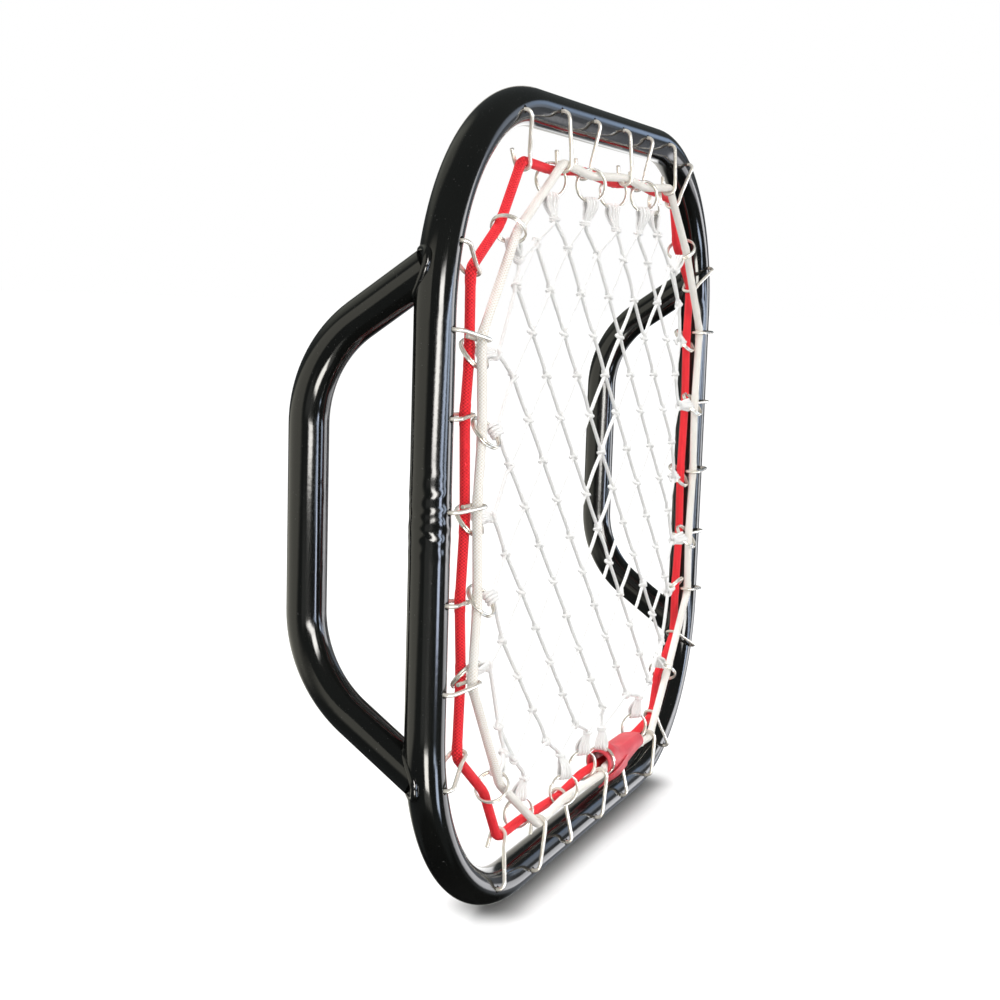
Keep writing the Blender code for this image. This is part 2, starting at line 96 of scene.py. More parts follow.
# Sides of the round pieces, and steps along the tubes
TUBE_SIDES = 56
BORE_SIDES = 24
HOLE_SIDES = 20
FILLET_SIDES = 14
WIRE_SIDES = 16
RING_SIDES = 12
CORD_SIDES = 28
TWINE_SIDES = 8
LIP_SIDES = 12
LOOP_STEP = 6 * MM
LOOP_CORNER_STEPS = 30
HANDLE_STEP = 8 * MM
HANDLE_BEND_STEPS = 20

# Drill for the hook holes, through the front wall. A face that leans further from the plain tube's normal
# than this cosine is the wall of a hole
DRILL_Y = (-16.0 * MM, -7.5 * MM)
HOLE_WALL_COSINE = 0.9

# Each handle starts this far from the loop's middle line
HANDLE_START = 5.0 * MM

# Butt weld on the left side, with its ends. Each bead has its place from the middle of the side, its height
# and its width in millimetres, and the phase of its waves
WELD_ENDS = (-40 * MM, 50 * MM)
WELD_BEADS = ((-13, 0.16, 3.4, 1.1), (-5, 0.32, 3.0, 2.0), (3.5, 0.38, 3.2, 0.3), (12, 0.29, 3.0, 3.6),
              (20, 0.23, 3.6, 5.0), (30, 0.12, 4.5, 0.9))

# Fillet weld of a handle: radius in millimetres, depth of its middle line in the handle and in the loop, its
# points, how many are evened out, and the millimetres along the handle where the loop's surface is looked for
FILLET_RADIUS = 2.7
FILLET_IN_HANDLE = 1.3 * MM
FILLET_IN_LOOP = 0.6 * MM
FILLET_POINTS = 140
FILLET_SMOOTH = 9
FILLET_TRIES = (-10, 40, 0.2)

# Hook wire in millimetres. Root and shoulder are points as depth from the tube's middle line and y. The arm
# ends before the bight, a little off its level. The bight's radius, the free tail and its rise follow
HOOK_ROOT = ((-4.0, -5.6), (-1.7, -5.7), (0.0, -7.7))
HOOK_SHOULDER = {"red": ((0.0, -13.7), (1.5, -15.9), (4.3, -16.4)),
                 "white": ((0.0, -14.2), (1.6, -16.8), (4.5, -17.7))}
HOOK_ARM_END = 7.5
HOOK_STAND_OFF = {"red": -0.9, "white": 0.25}
HOOK_BIGHT = {"red": 5.3, "white": 5.05}
HOOK_TAIL = 9.0
HOOK_TIP_RISE = 0.7
HOOK_BEND = 3.0 * MM

# Split ring: points of its path, and the share of a turn where its wire crosses from one turn to the next
RING_POINTS = 150
RING_CRANK = (0.955, 1.045)

# Half of the short straight that a cord makes on what holds it, and the bend at the ends of the straight
CORD_ON_HOOK = 2.4 * MM
CORD_ON_END_HOOK = 2.8 * MM
CORD_ON_RING = 3.2 * MM
CORD_ON_CORNER = 2.2 * MM
CORD_BEND = 8 * MM

# Bunch of twine on a ring: places of its four strands in millimetres, then how each goes over the ring, as
# millimetres down, share of its place and millimetres out, and where they gather, with down as a share of the
# neck's depth. The collar is the twine wound round the neck
BUNCH_PLACES = (-3.5, -1.2, 1.15, 3.4)
BUNCH_OVER = ((4.6, 0.95, 2.6), (0.6, 1.0, 3.0), (-2.1, 1.03, 0.9), (-1.9, 1.03, -1.3), (0.9, 1.0, -3.0),
              (4.8, 0.92, -2.5))
BUNCH_GATHER = ((0.72, 0.45, 1.3), (0.75, 0.4, -1.2))
BUNCH_TWINE = 0.92 * TWINE_RADIUS
COLLAR_TURNS = 1.6
COLLAR_LENGTH = 2.4 * MM
COLLAR_HALF = 3.1 * MM
COLLAR_DEPTH = 2.7 * MM

# Knot of the net: both its bights in millimetres as right, forward and up, how far its ends reach, how far
# from it a strand starts, and how much a strand sways in the net and out of it
KNOT_BIGHT = ((-2.0, 0.1, -1.9), (-1.7, -0.6, 0.8), (0.0, -0.8, 2.4), (1.7, -0.6, 0.8), (2.0, 0.1, -1.9))
KNOT_WRAP = ((-1.6, 1.1, 2.0), (-0.3, 1.0, 0.6), (1.2, -1.6, -0.8), (2.9, -1.0, -1.4), (2.5, 1.3, -1.3),
             (0.0, 2.1, -1.0), (-2.5, 1.3, -0.8), (-2.9, -1.0, 0.1), (-1.0, -2.2, 0.6), (1.0, -1.3, 1.5))
KNOT_REACH = 5.6 * MM
KNOT_CLEAR = 5.0 * MM
STRAND_SWAY = 0.9 * MM
STRAND_DIP = 1.2 * MM

# Corners clockwise as seen from the front, with the signs of x and z
CORNERS = {"top_left": (-1, 1), "top_right": (1, 1), "bottom_right": (1, -1), "bottom_left": (-1, -1)}

# Sleeve: thickness and thread pitches of its tape, then its cross sections in millimetres, each as the place
# along the bottom side and points across the tape as y and depth from the tube's middle line
SLEEVE_TAPE = 0.9 * MM
WEFT_PITCH = 0.9 * MM
WARP_PITCH = 1.1 * MM
SLEEVE_FRONT = (
    (25.2, (-8, 31.6), (-13.5, 32.2), (-18, 35.8), (-19.4, 41), (-17.9, 46.2), (-14.6, 49.2), (-10, 50.4)),
    (32.3, (-8.5, 31.2), (-13.8, 31.9), (-18.3, 35.7),
     (-19.6, 41), (-18.1, 46.4), (-14.7, 49.5), (-10, 50.6)),
    (38.5, (-9, 26.5), (-14.5, 26.8), (-19, 31), (-20.6, 39.5), (-19.8, 46.4), (-17.2, 51), (-14, 53)),
    (50, (-13, 26.4), (-17, 27), (-19.8, 31), (-20.9, 37.4), (-20, 43), (-17.8, 46.6), (-15, 48.8)),
    (64, (-18.4, 29.8), (-19.4, 31), (-20.5, 34.5),
     (-20.9, 38.2), (-19.8, 41.4), (-17.8, 43.8), (-15.4, 45.6)),
    (86, (-19.2, 34.2), (-19.6, 35), (-20.2, 37.3), (-20.2, 40), (-19.2, 42.6), (-17.6, 44.4), (-15.6, 45.8)),
    (105, (-19, 36.2), (-19.3, 36.8), (-19.6, 38.4),
     (-19.4, 40.4), (-18.6, 42.2), (-17.3, 43.6), (-15.8, 44.8)),
)
SLEEVE_BACK = (
    (25.2, (-10, 50.4), (-5, 49), (-1.7, 45.8), (-0.6, 41), (-1.7, 36), (-4.6, 33), (-8, 31.6)),
    (32.3, (-10, 50.6), (-5, 49.2), (-1.6, 46), (-0.4, 41), (-1.5, 35.8), (-4.8, 32.4), (-8.5, 31.2)),
    (38.5, (-14, 53), (-8, 51.5), (-2, 47.4), (0.4, 41), (-0.4, 34), (-4, 28.6), (-9, 26.5)),
    (50, (-15, 48.8), (-9, 47.8), (-2, 45), (2.2, 40), (2.6, 34), (0.6, 29.2), (-3.6, 27)),
    (64, (-15.4, 45.6), (-9, 45.2), (-1, 43.4), (3.6, 40), (4.9, 35.5), (4.6, 31.5), (3.4, 28.5)),
    (86, (-15.6, 45.8), (-9, 45.3), (-1, 43.3), (4, 39.5), (5.4, 36), (5.4, 33), (4.9, 30)),
    (107, (-15.8, 44.8), (-9, 44.6), (-1, 42.8), (3.8, 39.5), (5.2, 36.5), (5.4, 34), (5.2, 31.5)),
)
SLEEVE_FLAP = (
    (21.8, (-12.5, 21.8), (-15.6, 25.6), (-17.2, 28.4), (-18.2, 31)),
    (32, (-16, 24), (-18, 26.8), (-20, 29.8), (-21.3, 33)),
    (46, (-20, 26.6), (-21.2, 29.6), (-22, 33), (-22.2, 36.5)),
    (60, (-21.7, 31), (-22.1, 33.6), (-22.3, 36.8), (-22, 40)),
)

# Studio seen in reflections. Each patch has its compass limits with their softness, its height limits with
# theirs, its colour, and in some how far it leans with height, and the limits of its x direction likewise
ROOM_DARK = (0.09, 0.10, 0.10)
ROOM = (
    ((80, 179, 9), (-26, 33, 7), (1.10, 1.08, 0.93), 2.2),
    ((52, 112, 12), (22, 64, 9), (0.55, 0.56, 0.48)),
    ((-178, -140, 6), (-19, -8, 2), (0.45, 0.46, 0.44)),
    ((-166, -124, 5), (-49, -41, 2), (1, 1, 0.92)),
    ((-133, -111, 3.5), (0, 15, 5), (24, 23.4, 22.4)),
    ((-134, -113, 3.5), (-7, 1, 1), (24, 23.4, 22.4), 3),
    ((-155, -134, 3.5), (-40, -22, 2), (22, 21.4, 20)),
    ((-81, -66, 2.5), (-7.5, 4, 1.5), (9, 10.6, 13.4), 4),
    ((-103, -89, 2.5), (-13.5, -7.5, 1), (11, 12.4, 15.6)),
    ((-101, -89, 2.5), (-24, -20, 1.5), (7.2, 8.5, 10.5)),
    ((-92, -78, 2.5), (-37, -23, 2), (8.2, 9.6, 12)),
    ((-64, -51, 2.5), (-8.5, 1, 1.5), (5.4, 6.4, 8), 2.5),
    ((-36, -21, 4), (3, 17, 3), (1.1, 1.25, 1.5)),
    ((-25, -9, 2.5), (9.5, 17, 2.5), (1, 1.3, 1.8)),
    ((-26, 12, 5), (-32, 3, 3), (0.34, 0.36, 0.40)),
    ((-49, -13, 3), (-26, -9, 2), (2.8, 2.8, 2.9), 0, (-1, 0.920, 0.015)),
    ((-52, -33, 3), (-12, 9, 2), (6, 6, 6.2)),
    ((5, 20, 2), (-16, 2.5, 2), (2, 2, 2)),
    ((20, 37, 3), (-26, 3, 3), (1, 0.98, 0.93)),
    ((18, 37, 3), (0, 20, 3), (0.80, 0.77, 0.70), 0, (-1, 0.905, 0.006)),
    ((-60, 70, 8), (-90, -35, 2.5), (0.012, 0.012, 0.012)),
    ((-180, 180, 1), (-91, -54, 5), (0.02, 0.02, 0.02)),
)

# Floor's glow for the camera, and the strip round the bottom tube where it fades, so that the shadow shows.
# The fade also paints shade on the floor along the tube, beside its real shadow
FLOOR_REACH = 30.0
FLOOR_GLOW = 0.75
FLOOR_SHADE_HALF = 0.15
FLOOR_SHADE_REACH = (0.008, 0.040)

# Camera as measured from the photograph: angles in degrees, lens and sensor in millimetres
CAMERA_TURN = -66.346
CAMERA_RISE = 7.687
CAMERA_ROLL = 1.732
CAMERA_PLACE = (-1.0772, -0.4031, 0.4132)
CAMERA_LENS = 56.14
CAMERA_SENSOR = 36.0


class Mesh:
    """Vertices, faces and per-corner pattern coordinates gathered for one piece."""

    def __init__(self):
        self.verts = []
        self.faces = []
        self.coords = []
        self.count = 0

    def add(self, verts, faces, coords):
        self.verts.append(np.asarray(verts, float))
        self.faces += [tuple(self.count + i for i in face) for face in faces]
        self.coords += coords
        self.count += len(verts)

    def data(self, name, materials):
        """The gathered faces as Blender's mesh data."""
        data = bpy.data.meshes.new(name)
        data.from_pydata(np.vstack(self.verts).tolist(), [], self.faces)
        for material in materials:
            data.materials.append(material)
        return data


def unit(vectors):
    return vectors / np.linalg.norm(vectors, axis=-1, keepdims=True)


def lengths(points):
    """How far along a line of points each of them lies."""
    return np.concatenate(([0.0], np.cumsum(np.linalg.norm(np.diff(points, axis=0), axis=1))))


def directions(path, closed, upright=None):
    """Two directions across a path at each of its points, without twist."""
    if closed:
        tangent = unit(np.roll(path, -1, 0) - np.roll(path, 1, 0))
    else:
        tangent = unit(np.gradient(path, axis=0))
    if upright is not None:
        side = unit(np.cross(np.broadcast_to(upright, path.shape), tangent))
        return side, np.cross(tangent, side)
    side = np.zeros_like(path)
    guess = (0.0, 1.0, 0.0) if abs(tangent[0][1]) < 0.8 else (1.0, 0.0, 0.0)
    current = unit(np.cross(guess, tangent[0]))
    for k in range(len(path)):
        current = unit(current - tangent[k] * current.dot(tangent[k]))
        side[k] = current
    return side, np.cross(tangent, side)


def sweep(mesh, path, radius, sides, closed=False, upright=None, squash=1.0, offset=0.0):
    """A round tube along a path. The pattern coordinates are the share of a turn and the length in metres."""
    path = np.asarray(path, float)
    count = len(path)
    side, normal = directions(path, closed, upright)
    radius, squash = (np.broadcast_to(value, (count,))[:, None] for value in (radius, squash))
    angle = 2 * math.pi * np.arange(sides) / sides
    across = (radius + offset) * np.cos(angle) * squash
    upward = (radius + offset) * np.sin(angle) / squash
    points = path[:, None] + side[:, None] * across[..., None] + normal[:, None] * upward[..., None]
    length = lengths(np.vstack((path, path[:1])))
    faces, coords = [], []
    for k in range(count if closed else count - 1):
        a = k * sides
        b = ((k + 1) % count) * sides
        low, high = length[k], length[k + 1]
        for n in range(sides):
            m = (n + 1) % sides
            faces.append((a + n, a + m, b + m, b + n))
            u0, u1 = n / sides, (n + 1) / sides
            coords += [(u0, low), (u1, low), (u1, high), (u0, high)]
    if not closed:
        last = (count - 1) * sides
        faces += [tuple(reversed(range(sides))), tuple(range(last, last + sides))]
        coords += [(0.0, 0.0)] * sides + [(0.0, length[count - 1])] * sides
    mesh.add(points.reshape(-1, 3), faces, coords)
    return mesh


def through(points, steps):
    """A smooth open curve through the given points."""
    points = np.asarray(points, float)
    padded = np.vstack((2 * points[0] - points[1], points, 2 * points[-1] - points[-2]))
    curve = []
    for k in range(1, len(padded) - 2):
        a, b, c, d = padded[k - 1:k + 3]
        for n in range(steps):
            t = n / steps
            curve.append(0.5 * (2 * b + (c - a) * t + (2 * a - 5 * b + 4 * c - d) * t * t
                                + (3 * b - a - 3 * c + d) * t ** 3))
    curve.append(points[-1])
    return np.array(curve)


def divided(points, spacing, closed=False, whole=math.ceil):
    """The same line with its long stretches cut into short ones."""
    fine = []
    for a, b in zip(points, points[1:] + points[:1] if closed else points[1:]):
        parts = max(1, whole(np.linalg.norm(b - a) / spacing))
        fine += [a + (b - a) * n / parts for n in range(parts)]
    if not closed:
        fine.append(points[-1])
    return np.array(fine)


def rounded(points, radius, arc_steps, spacing, closed=False):
    """A row of points with every corner turned on an arc, and the straights cut into short lengths."""
    points = [np.asarray(p, float) for p in points]
    made = []
    for k, here in enumerate(points):
        if not closed and k in (0, len(points) - 1):
            made.append(here)
            continue
        before, after = points[k - 1] - here, points[(k + 1) % len(points)] - here
        left, right = np.linalg.norm(before), np.linalg.norm(after)
        before, after = before / left, after / right
        turn = math.pi - math.acos(max(-1.0, min(1.0, before.dot(after))))
        if turn < 1e-3:
            made.append(here)
            continue
        cut = min(radius * math.tan(turn / 2), 0.49 * left, 0.49 * right)
        bend = cut / math.tan(turn / 2)
        middle = here + unit(before + after) * (bend / math.cos(turn / 2))
        start = here + before * cut - middle
        end = here + after * cut - middle
        for t in np.linspace(0, 1, arc_steps + 1):
            spot = start * math.sin((1 - t) * turn) + end * math.sin(t * turn)
            made.append(middle + spot / math.sin(turn))
    return divided(made, spacing, closed)


def add_object(name, data):
    item = bpy.data.objects.new(name, data)
    bpy.context.scene.collection.objects.link(item)
    return item


def piece(name, mesh, materials, body, stands_for, sharp=None):
    """Make the object, let it ride on its body and hide the solid it stands for."""
    data = mesh.data(name, materials)
    layer = data.uv_layers.new(name="pattern")
    layer.data.foreach_set("uv", np.array(mesh.coords, np.float32).ravel())
    data.shade_smooth()
    if sharp:
        data.set_sharp_from_angle(angle=math.radians(sharp))
    item = add_object(name, data)
    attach(item, body)
    if stands_for:
        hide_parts(*stands_for)
    return item


# Places on the loop, as in the CAD source

def on_side(side, a, b):
    """The x and z of a point at length a along a side and b out from the loop's middle."""
    x, z = {"top": (a, b), "bottom": (a, -b), "right": (b, a), "left": (-b, a)}[side]
    return x, LOOP_Z + z


def loop_place(side, s, u):
    """The x and z of a point at length s along a side and depth u inside the tube's middle."""
    straight = LOOP_HALF - LOOP_CORNER
    if abs(s) <= straight:
        return on_side(side, s, LOOP_HALF - u)
    turn = (abs(s) - straight) / LOOP_CORNER
    a = straight + (LOOP_CORNER - u) * math.sin(turn)
    b = straight + (LOOP_CORNER - u) * math.cos(turn)
    return on_side(side, math.copysign(a, s), b)


def side_axes(side, s):
    """Unit directions along the tube and inwards at a place on the loop."""
    x0, z0 = loop_place(side, s, 0.0)
    x1, z1 = loop_place(side, s, 10 * MM)
    inwards = unit(np.array((x1 - x0, 0.0, z1 - z0)))
    along = np.array((-inwards[2], 0.0, inwards[0]))
    x2, z2 = loop_place(side, s + 1 * MM, 0.0)
    if along.dot((x2 - x0, 0, z2 - z0)) < 0:
        along = -along
    return along, inwards


def ring_centre(side, k):
    """Centre of one ring of a side, and the directions inwards, across its wire and along the side."""
    place, lean_degrees, cord = RING_PLACES[side][k]
    x, z = on_side(side, place * MM, LOOP_HALF - CORD_AT_RING - RING_DEPTH[cord])
    along, inwards = side_axes(side, place * MM)
    lean = math.radians(lean_degrees)
    across = np.array((0, -math.cos(lean), 0)) + along * math.sin(lean)
    return np.array((x, RING_Y[cord], z)), inwards, across, side_axes(side, 0.0)[0]


def corner_ring(sign_x, sign_z):
    """The same for the ring in a corner."""
    centre = np.array((sign_x * CORNER_RING, NET_Y, LOOP_Z + sign_z * CORNER_RING))
    inwards = unit(np.array((-sign_x, 0.0, -sign_z)))
    along = unit(np.array((sign_z, 0.0, -sign_x)))
    return centre, inwards, np.array((0.0, -1.0, 0.0)), along


# Materials

def set_inputs(node, values):
    """Set each input to a number or colour, or link it to another node's output."""
    for label, value in values.items():
        if isinstance(value, bpy.types.NodeSocket):
            node.id_data.links.new(value, node.inputs[label])
        else:
            node.inputs[label].default_value = value


def add_node(tree, kind, inputs, output=0, **settings):
    """A new shader node with its settings and inputs. What comes back is one of its outputs."""
    node = tree.nodes.new("ShaderNode" + kind)
    for name, value in settings.items():
        setattr(node, name, value)
    set_inputs(node, inputs)
    return node.outputs[output]


def fed_node(kind, inputs, output=0, **settings):
    """A new node in the tree of the outputs that feed it."""
    tree = next(value.id_data for value in inputs.values() if isinstance(value, bpy.types.NodeSocket))
    return add_node(tree, kind, inputs, output, **settings)


def maths(kind, *values):
    return fed_node("Math", dict(enumerate(values)), operation=kind)


def times(a, b):
    return maths("MULTIPLY", a, b)


def two_tone(source, low, low_color, high, high_color):
    """One colour up to the low value of the source, the other from the high value, and a blend between."""
    blend = fed_node("ValToRGB", {0: source})
    for element, place, color in zip(blend.node.color_ramp.elements, (low, high), (low_color, high_color)):
        element.position = place
        element.color = (*color, 1.0)
    return blend


def map_range(value, start, end, low=0.0, high=1.0, kind="SMOOTHSTEP"):
    inputs = {"Value": value, "From Min": start, "From Max": end, "To Min": low, "To Max": high}
    return fed_node("MapRange", inputs, interpolation_type=kind)


def mix_color(share, below, above):
    return fed_node("Mix", {0: share, 6: below, 7: (*above, 1.0)}, 2, data_type="RGBA")


def pattern(tree):
    """The pattern coordinates that each piece carries."""
    return add_node(tree, "UVMap", {}, uv_map="pattern")


def axes_of(vector):
    return fed_node("SeparateXYZ", {0: vector}).node.outputs


def noise(where, scale, detail, rough=0.5):
    inputs = {"Vector": where, "Scale": scale, "Detail": detail, "Roughness": rough}
    return fed_node("TexNoise", inputs, "Fac")


def bump(height, strength, distance, **under):
    """Normals of a height. Another bump's normals may lie under them, as Normal."""
    return fed_node("Bump", {"Strength": strength, "Distance": distance, "Height": height, **under})


def new_material(name):
    material = bpy.data.materials.new(name)
    material.use_nodes = True
    tree = material.node_tree
    return material, tree, tree.nodes["Principled BSDF"], add_node(tree, "TexCoord", {}, "Object")


def powder_coat():
    """Glossy black powder coat: slight orange peel, fine dust nibs, a little uneven in gloss."""
    material, tree, shader, place = new_material("black_powder_coat")
    peel = noise(place, scale=260.0, detail=2.0)
    slow = noise(place, scale=14.0, detail=3.0)
    nibs = maths("GREATER_THAN", noise(place, scale=620.0, detail=1.0), 0.75)
    color = two_tone(slow, 0.3, (0.0035, 0.0038, 0.0036), 0.7, (0.0062, 0.0066, 0.006))
    set_inputs(shader, {
        "Base Color": mix_color(nibs, color, (0.035, 0.035, 0.034)),
        "Roughness": maths("MULTIPLY_ADD", slow, 0.08, 0.06), "IOR": 1.5,
        "Normal": bump(peel, strength=0.035, distance=0.6 * MM),
    })
    return material


def plated_wire(name, bright, dull, rough, scratch, metal):
    """Bright plating with drawing lines along the wire and dull patches, and more metallic at a slant."""
    material, tree, shader, place = new_material(name)
    stretched = fed_node("Mapping", {0: pattern(tree), "Scale": (24.0, 60.0, 1.0)})
    lines = noise(stretched, scale=scratch, detail=3.0, rough=0.6)
    patches = noise(place, scale=130.0, detail=3.0)
    facing = add_node(tree, "LayerWeight", {"Blend": 0.5}, "Facing")
    low, high = rough
    set_inputs(shader, {
        "Base Color": two_tone(patches, 0.32, dull, 0.62, bright),
        "Metallic": map_range(facing, 0.40, 0.85, metal, 1.0, "LINEAR"),
        "Roughness": maths("MULTIPLY_ADD", patches, high - low, low),
        "Normal": bump(lines, strength=0.12, distance=0.2 * MM),
    })
    return material


def braid_height(tree, carriers, pitch):
    """Height of a two-way braid with strands over and under in turn, and shallow furrows along it."""
    coords = axes_of(pattern(tree))
    around = times(coords[0], carriers)
    along = maths("DIVIDE", coords[1], pitch)
    leans = [maths(kind, around, along) for kind in ("ADD", "SUBTRACT")]
    first, second = [maths("SINE", times(maths("FRACT", lean), math.pi)) for lean in leans]
    cells = maths("ADD", *[maths("FLOOR", lean) for lean in leans])
    turn = maths("FLOORED_MODULO", cells, 2.0)
    above = times(times(first, maths("POWER", second, 0.5)), turn)
    below = times(times(second, maths("POWER", first, 0.5)), maths("SUBTRACT", 1.0, turn))
    wave = maths("ABSOLUTE", maths("SINE", times(around, math.pi)))
    furrow = maths("MULTIPLY_ADD", maths("POWER", wave, 0.7), 0.6, 0.4)
    return times(maths("ADD", above, below), furrow)


def braid(name, gap_shade, ridge, carriers, pitch, depth, rough, fuzz, full):
    """A braided cover: strands with painted shade in the gaps and furrows between them, fibre bump and a soft
    sheen.
    """
    material, tree, shader, place = new_material(name)
    height = braid_height(tree, carriers, pitch)
    fibre = noise(place, scale=1900.0, detail=2.0, rough=0.6)
    slow = noise(place, scale=45.0, detail=2.0)
    shade = maths("ADD", height, times(maths("SUBTRACT", slow, 0.5), 0.3))
    coarse = bump(height, strength=0.75, distance=depth)
    # Painted shade: the colour darkens from the strands' ridges into the gaps and furrows between them
    set_inputs(shader, {
        "Base Color": two_tone(shade, 0.06, gap_shade, full, ridge), "Roughness": rough,
        "Specular IOR Level": 0.35, "Sheen Weight": 0.10, "Sheen Roughness": 0.4,
        "Sheen Tint": (*ridge, 1.0),
        "Normal": bump(fibre, strength=fuzz, distance=0.2 * MM, Normal=coarse),
    })
    return material


def tape(name, low, high):
    """Smooth woven tape with fine cross threads and a half gloss."""
    material, tree, shader, place = new_material(name)
    coords = axes_of(pattern(tree))
    weft = maths("SINE", times(coords[1], 2 * math.pi / WEFT_PITCH))
    warp = maths("SINE", times(coords[0], 2 * math.pi / WARP_PITCH))
    weave = times(weft, warp)
    slow = noise(place, scale=60.0, detail=3.0)
    folds = bump(slow, strength=0.2, distance=1.5 * MM)
    set_inputs(shader, {
        "Base Color": two_tone(slow, 0.3, low, 0.7, high),
        "Roughness": maths("MULTIPLY_ADD", slow, 0.14, 0.34), "Specular IOR Level": 0.35,
        "Normal": bump(weave, strength=0.25, distance=0.12 * MM, Normal=folds),
    })
    return material


coat = powder_coat()
hook_steel = plated_wire("hook_wire_plated", bright=(0.89, 0.86, 0.79), dull=(0.72, 0.67, 0.58),
                         rough=(0.16, 0.34), scratch=5.0, metal=0.35)
ring_steel = plated_wire("split_ring_plated", bright=(0.91, 0.89, 0.83), dull=(0.62, 0.57, 0.49),
                         rough=(0.12, 0.28), scratch=6.0, metal=0.45)
bare_rim = plated_wire("bare_hole_edge", bright=(0.34, 0.30, 0.26), dull=(0.10, 0.08, 0.07),
                       rough=(0.3, 0.5), scratch=5.0, metal=1.0)
# The darker first colour of each braid is painted shade between its strands
red_braid = braid("red_elastic_braid", gap_shade=(0.44, 0.004, 0.010), ridge=(1.0, 0.036, 0.050), carriers=8.0,
                  pitch=2.1 * MM, depth=0.40 * MM, rough=0.60, fuzz=0.2, full=0.36)
white_braid = braid("white_elastic_braid", gap_shade=(0.72, 0.64, 0.53), ridge=(0.96, 0.95, 0.92), carriers=8.0,
                    pitch=2.1 * MM, depth=0.32 * MM, rough=0.66, fuzz=0.2, full=0.34)
twine = braid("white_net_twine", gap_shade=(0.82, 0.82, 0.81), ridge=(0.93, 0.93, 0.925), carriers=6.0,
              pitch=2.4 * MM, depth=0.28 * MM, rough=0.7, fuzz=0.25, full=0.5)
red_tape = tape("red_sleeve_tape", low=(0.58, 0.050, 0.066), high=(0.74, 0.085, 0.106))


# Loop tube, with its hook holes and the ground-down butt weld on the left side

def loop_line(step):
    """Middle line of the loop from the lower end of the left straight, closely spaced round the weld."""
    straight = LOOP_HALF - LOOP_CORNER
    low, high = WELD_ENDS
    stops = (np.arange(-straight, low, step), np.arange(low, high, 1 * MM), np.arange(high, straight, step))
    points = [(-LOOP_HALF, 0.0, LOOP_Z + s) for s in np.concatenate(stops)]
    for (sign_x, sign_z), first in zip(CORNERS.values(), (180, 90, 0, -90)):
        for k in range(LOOP_CORNER_STEPS + 1):
            angle = math.radians(first - 90 * k / LOOP_CORNER_STEPS)
            points.append((sign_x * straight + LOOP_CORNER * math.cos(angle), 0.0,
                           LOOP_Z + sign_z * straight + LOOP_CORNER * math.sin(angle)))
    return np.array(points[:-1])


def weld_lumps(path):
    """How far the butt weld stands proud of the tube, by point and side."""
    lift = np.zeros((len(path), TUBE_SIDES))
    on_left = (path[:, 0] < -LOOP_HALF + 1e-6) & (np.abs(path[:, 2] - LOOP_Z) < LOOP_HALF - LOOP_CORNER)
    s = (path[:, 2] - LOOP_Z) / MM
    angle = 2 * math.pi * np.arange(TUBE_SIDES) / TUBE_SIDES
    for place, height, width, phase in WELD_BEADS:
        wave = place + 1.6 * np.sin(2 * angle + phase) + 0.8 * np.sin(5 * angle + 2 * phase)
        strength = height * (0.72 + 0.28 * np.sin(3 * angle + 1.7 * phase))
        lift += strength * np.exp(-((s[:, None] - wave) / width) ** 2)
    return lift * MM * on_left[:, None]


def true_normals(data, plain):
    """Give the drilled tube the normals of the plain one, apart from the walls of its holes."""
    tree = BVHTree.FromPolygons([v.co for v in plain.vertices], [tuple(f.vertices) for f in plain.polygons])
    normals = []
    for face in data.polygons:
        for index in face.vertices:
            near, _, hit, _ = tree.find_nearest(data.vertices[index].co)
            corners = [plain.vertices[v] for v in plain.polygons[hit].vertices]
            blend = Vector((0, 0, 0))
            for share, corner in zip(poly_3d_calc([v.co for v in corners], near), corners):
                blend += corner.normal * share
            blend.normalize()
            normals.append(tuple(blend if blend.dot(face.normal) > HOLE_WALL_COSINE else face.normal))
    data.normals_split_custom_set(normals)


def build_loop():
    path = loop_line(LOOP_STEP)
    tube = sweep(Mesh(), path, TUBE_RADIUS, TUBE_SIDES, closed=True, upright=(0, 1, 0),
                 offset=weld_lumps(path))
    bore = sweep(Mesh(), path, TUBE_RADIUS - TUBE_WALL, BORE_SIDES, closed=True, upright=(0, 1, 0))
    tube.add(bore.verts[0], [face[::-1] for face in bore.faces], bore.coords)
    item = piece("loop_tube", tube, [coat, bare_rim], "frame", ["frame_tube"])
    plain = item.data.copy()
    drill = Mesh()
    for side, places in HOOK_PLACES.items():
        for place in places:
            x, z = loop_place(side, place * MM, 0.0)
            sweep(drill, [(x, y, z) for y in DRILL_Y], HOLE_RADIUS, HOLE_SIDES, upright=(1, 0, 0))
    cutter_data = drill.data("hole_drill", [coat, bare_rim])
    for face in cutter_data.polygons:
        face.material_index = 1
    cutter = add_object("hole_drill", cutter_data)
    change = item.modifiers.new("holes", "BOOLEAN")
    change.operation = "DIFFERENCE"
    change.solver = "EXACT"
    change.object = cutter
    graph = bpy.context.evaluated_depsgraph_get()
    done = bpy.data.meshes.new_from_object(item.evaluated_get(graph), preserve_all_data_layers=True,
                                           depsgraph=graph)
    item.modifiers.clear()
    item.data = done
    bpy.data.objects.remove(cutter)
    for face in done.polygons:
        face.use_smooth = True
    true_normals(done, plain)


# Handles and the fillet welds at their ends

